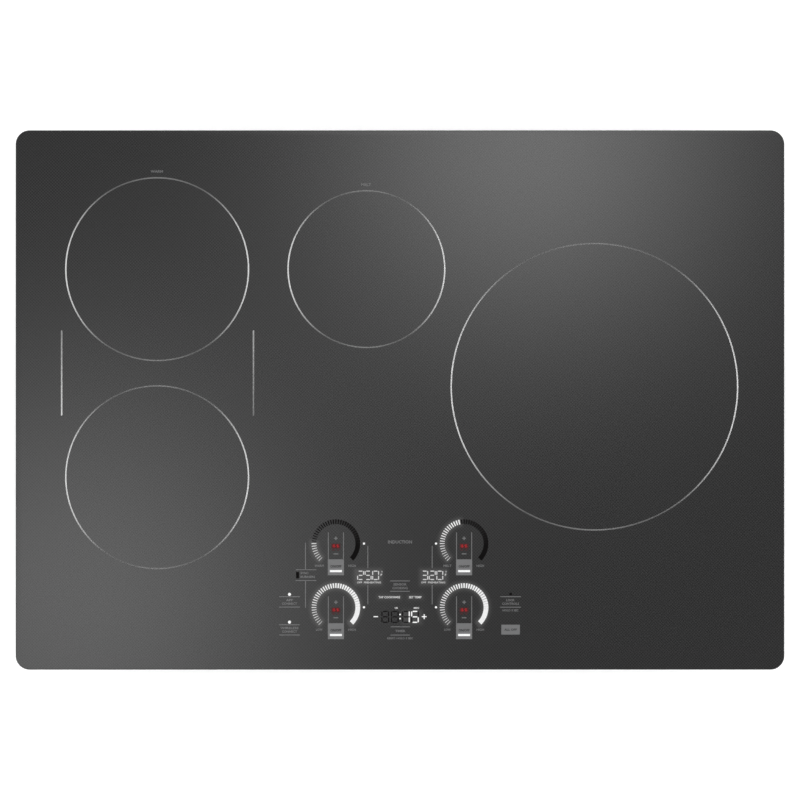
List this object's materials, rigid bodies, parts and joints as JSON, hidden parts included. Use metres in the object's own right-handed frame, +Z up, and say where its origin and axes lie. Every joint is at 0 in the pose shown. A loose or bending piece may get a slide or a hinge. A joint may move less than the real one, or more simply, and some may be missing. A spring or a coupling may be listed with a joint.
{
  "type": "electric induction cooktop",
  "caption": "Rectangular drop-in induction cooktop: dark glass plate over a sheet-metal box with sprung coils, blowers, circuit boards, touch controls and hold-down clamps.",
  "frame": {"origin": "middle of the footprint of the glass, level with the underside of the burner box", "axes": "+X to the cook's right, +Y away from the cook, +Z up out of the glass"},
  "size_m": [0.7556, 0.5302, 0.1047],
  "materials": {
    "ceramic_glass": "smooth semi-gloss, dark grey with a fine dot pattern, opaque",
    "seal_foam": "closed-cell foam",
    "silicone": "satin",
    "frame_steel": "plain rolled",
    "galvanised_steel": "galvanised sheet",
    "deck_aluminium": "mill finish",
    "heat_sink_aluminium": "extruded, mill finish",
    "ferrite": "matt",
    "copper_wire": "enamelled copper wire",
    "mica": "pressed mica sheet",
    "sensor_steel": "plain",
    "spring_steel": "bright wire",
    "circuit_board": "glass-fibre board with parts",
    "black_plastic": "moulded, fine texture",
    "terminal_plastic": "moulded",
    "diffuser": "milky acrylic",
    "zinc": "zinc plated",
    "cable_sheath": "satin"
  },
  "bodies": {
    "chassis": {"blower_housing_left": "black_plastic", "blower_housing_right": "black_plastic", "bracket_screw_left": "zinc", "bracket_screw_right": "zinc", "burner_box": "galvanised_steel", "coil_deck": "deck_aluminium", "coil_spring_front_left": "spring_steel", "coil_spring_rear_center": "spring_steel", "coil_spring_rear_left": "spring_steel", "coil_spring_right": "spring_steel", "conduit_connector": "zinc", "conduit_locknut": "zinc", "control_tray": "black_plastic", "countertop_gasket": "seal_foam", "filter_board": "circuit_board", "filter_choke": "copper_wire", "glass_adhesive_bead": "silicone", "glass_support_frame": "frame_steel", "glass_top": "ceramic_glass", "heat_sink_left": "heat_sink_aluminium", "heat_sink_right": "heat_sink_aluminium", "hold_down_bracket_left": "galvanised_steel", "hold_down_bracket_right": "galvanised_steel", "inverter_board_left": "circuit_board", "inverter_board_right": "circuit_board", "light_guide": "diffuser", "side_screw_front_left": "zinc", "side_screw_front_right": "zinc", "side_screw_rear_left": "zinc", "side_screw_rear_right": "zinc", "supply_loom": "cable_sheath", "terminal_block": "terminal_plastic", "touch_board": "circuit_board"},
    "blower_wheel_left": {"blower_wheel_left": "black_plastic"},
    "blower_wheel_right": {"blower_wheel_right": "black_plastic"},
    "coil_unit_rear_left": {"coil_carrier_rear_left": "deck_aluminium", "ferrite_star_rear_left": "ferrite", "coil_winding_rear_left": "copper_wire", "mica_disc_rear_left": "mica", "glass_sensor_rear_left": "sensor_steel"},
    "coil_unit_front_left": {"coil_carrier_front_left": "deck_aluminium", "ferrite_star_front_left": "ferrite", "coil_winding_front_left": "copper_wire", "mica_disc_front_left": "mica", "glass_sensor_front_left": "sensor_steel"},
    "coil_unit_rear_center": {"coil_carrier_rear_center": "deck_aluminium", "ferrite_star_rear_center": "ferrite", "coil_winding_rear_center": "copper_wire", "mica_disc_rear_center": "mica", "glass_sensor_rear_center": "sensor_steel"},
    "coil_unit_right": {"coil_carrier_right": "deck_aluminium", "ferrite_star_right": "ferrite", "coil_winding_right": "copper_wire", "mica_disc_right": "mica", "glass_sensor_right": "sensor_steel"},
    "clamp_pad_left": {"clamp_pad_left": "black_plastic"},
    "clamp_screw_left": {"clamp_screw_left": "zinc"},
    "clamp_pad_right": {"clamp_pad_right": "black_plastic"},
    "clamp_screw_right": {"clamp_screw_right": "zinc"}
  },
  "joints": [
    {"name": "blower_left_spin", "type": "hinge", "parent": "chassis", "child": "blower_wheel_left", "pos_m": [-0.215, 0.15, 0], "axis": [0, 0, 1], "continuous": true},
    {"name": "blower_right_spin", "type": "hinge", "parent": "chassis", "child": "blower_wheel_right", "pos_m": [0.045, 0.15, 0], "axis": [0, 0, 1], "continuous": true},
    {"name": "coil_rear_left_float", "type": "slide", "parent": "chassis", "child": "coil_unit_rear_left", "axis": [0, 0, 1], "range_m": [-0.004, 0], "stiffness_N_per_m": 3000, "springref_m": 0.006, "deforming": ["coil_spring_rear_left"]},
    {"name": "coil_front_left_float", "type": "slide", "parent": "chassis", "child": "coil_unit_front_left", "axis": [0, 0, 1], "range_m": [-0.004, 0], "stiffness_N_per_m": 3000, "springref_m": 0.006, "deforming": ["coil_spring_front_left"]},
    {"name": "coil_rear_center_float", "type": "slide", "parent": "chassis", "child": "coil_unit_rear_center", "axis": [0, 0, 1], "range_m": [-0.004, 0], "stiffness_N_per_m": 2400, "springref_m": 0.006, "deforming": ["coil_spring_rear_center"]},
    {"name": "coil_right_float", "type": "slide", "parent": "chassis", "child": "coil_unit_right", "axis": [0, 0, 1], "range_m": [-0.004, 0], "stiffness_N_per_m": 6000, "springref_m": 0.006, "deforming": ["coil_spring_right"]},
    {"name": "clamp_left_lift", "type": "slide", "parent": "chassis", "child": "clamp_pad_left", "axis": [0, 0, 1], "range_m": [0, 0.02]},
    {"name": "clamp_left_turn", "type": "hinge", "parent": "clamp_pad_left", "child": "clamp_screw_left", "pos_m": [-0.3675, 0, 0], "axis": [0, 0, 1], "range_deg": [0, 5669]},
    {"name": "clamp_right_lift", "type": "slide", "parent": "chassis", "child": "clamp_pad_right", "axis": [0, 0, 1], "range_m": [0, 0.02]},
    {"name": "clamp_right_turn", "type": "hinge", "parent": "clamp_pad_right", "child": "clamp_screw_right", "pos_m": [0.3675, 0, 0], "axis": [0, 0, 1], "range_deg": [0, 5669]}
  ],
  "couplings": [
    {"joint": "clamp_left_lift", "follows": "clamp_left_turn", "m_per_rad": 0.00020213},
    {"joint": "clamp_right_lift", "follows": "clamp_right_turn", "m_per_rad": 0.00020213}
  ]
}
